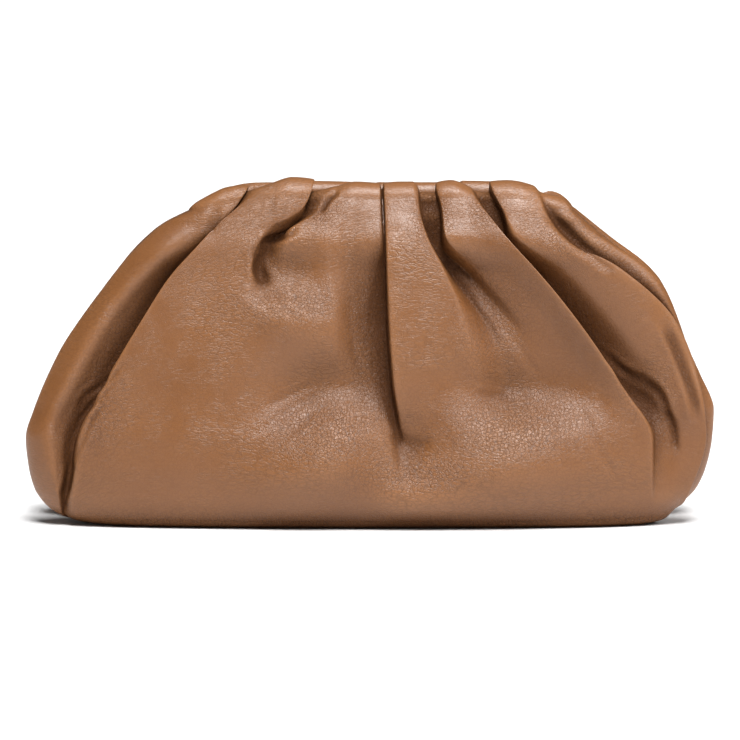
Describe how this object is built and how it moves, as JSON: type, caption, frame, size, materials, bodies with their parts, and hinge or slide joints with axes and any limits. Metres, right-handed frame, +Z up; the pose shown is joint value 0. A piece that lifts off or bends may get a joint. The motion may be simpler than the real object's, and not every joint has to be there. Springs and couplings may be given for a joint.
{
  "type": "gathered leather frame clutch bag",
  "caption": "Soft leather pouch clutch, gathered in deep pleats over a hidden metal frame, with a closed mouth, tucked-in sides and a flat base.",
  "frame": {"origin": "on the floor, under the middle of the bag's flat base", "axes": "+X along the mouth to the right as seen from the front, +Y to the back, +Z up; the front faces -Y"},
  "size_m": [0.2254, 0.0682, 0.1134],
  "materials": {
    "leather": "tan calf leather, semi-gloss, fine natural grain",
    "frame_metal": "plain satin steel"
  },
  "bodies": {
    "root": {"leather_body": "leather", "closure_frame": "frame_metal"}
  },
  "joints": []
}
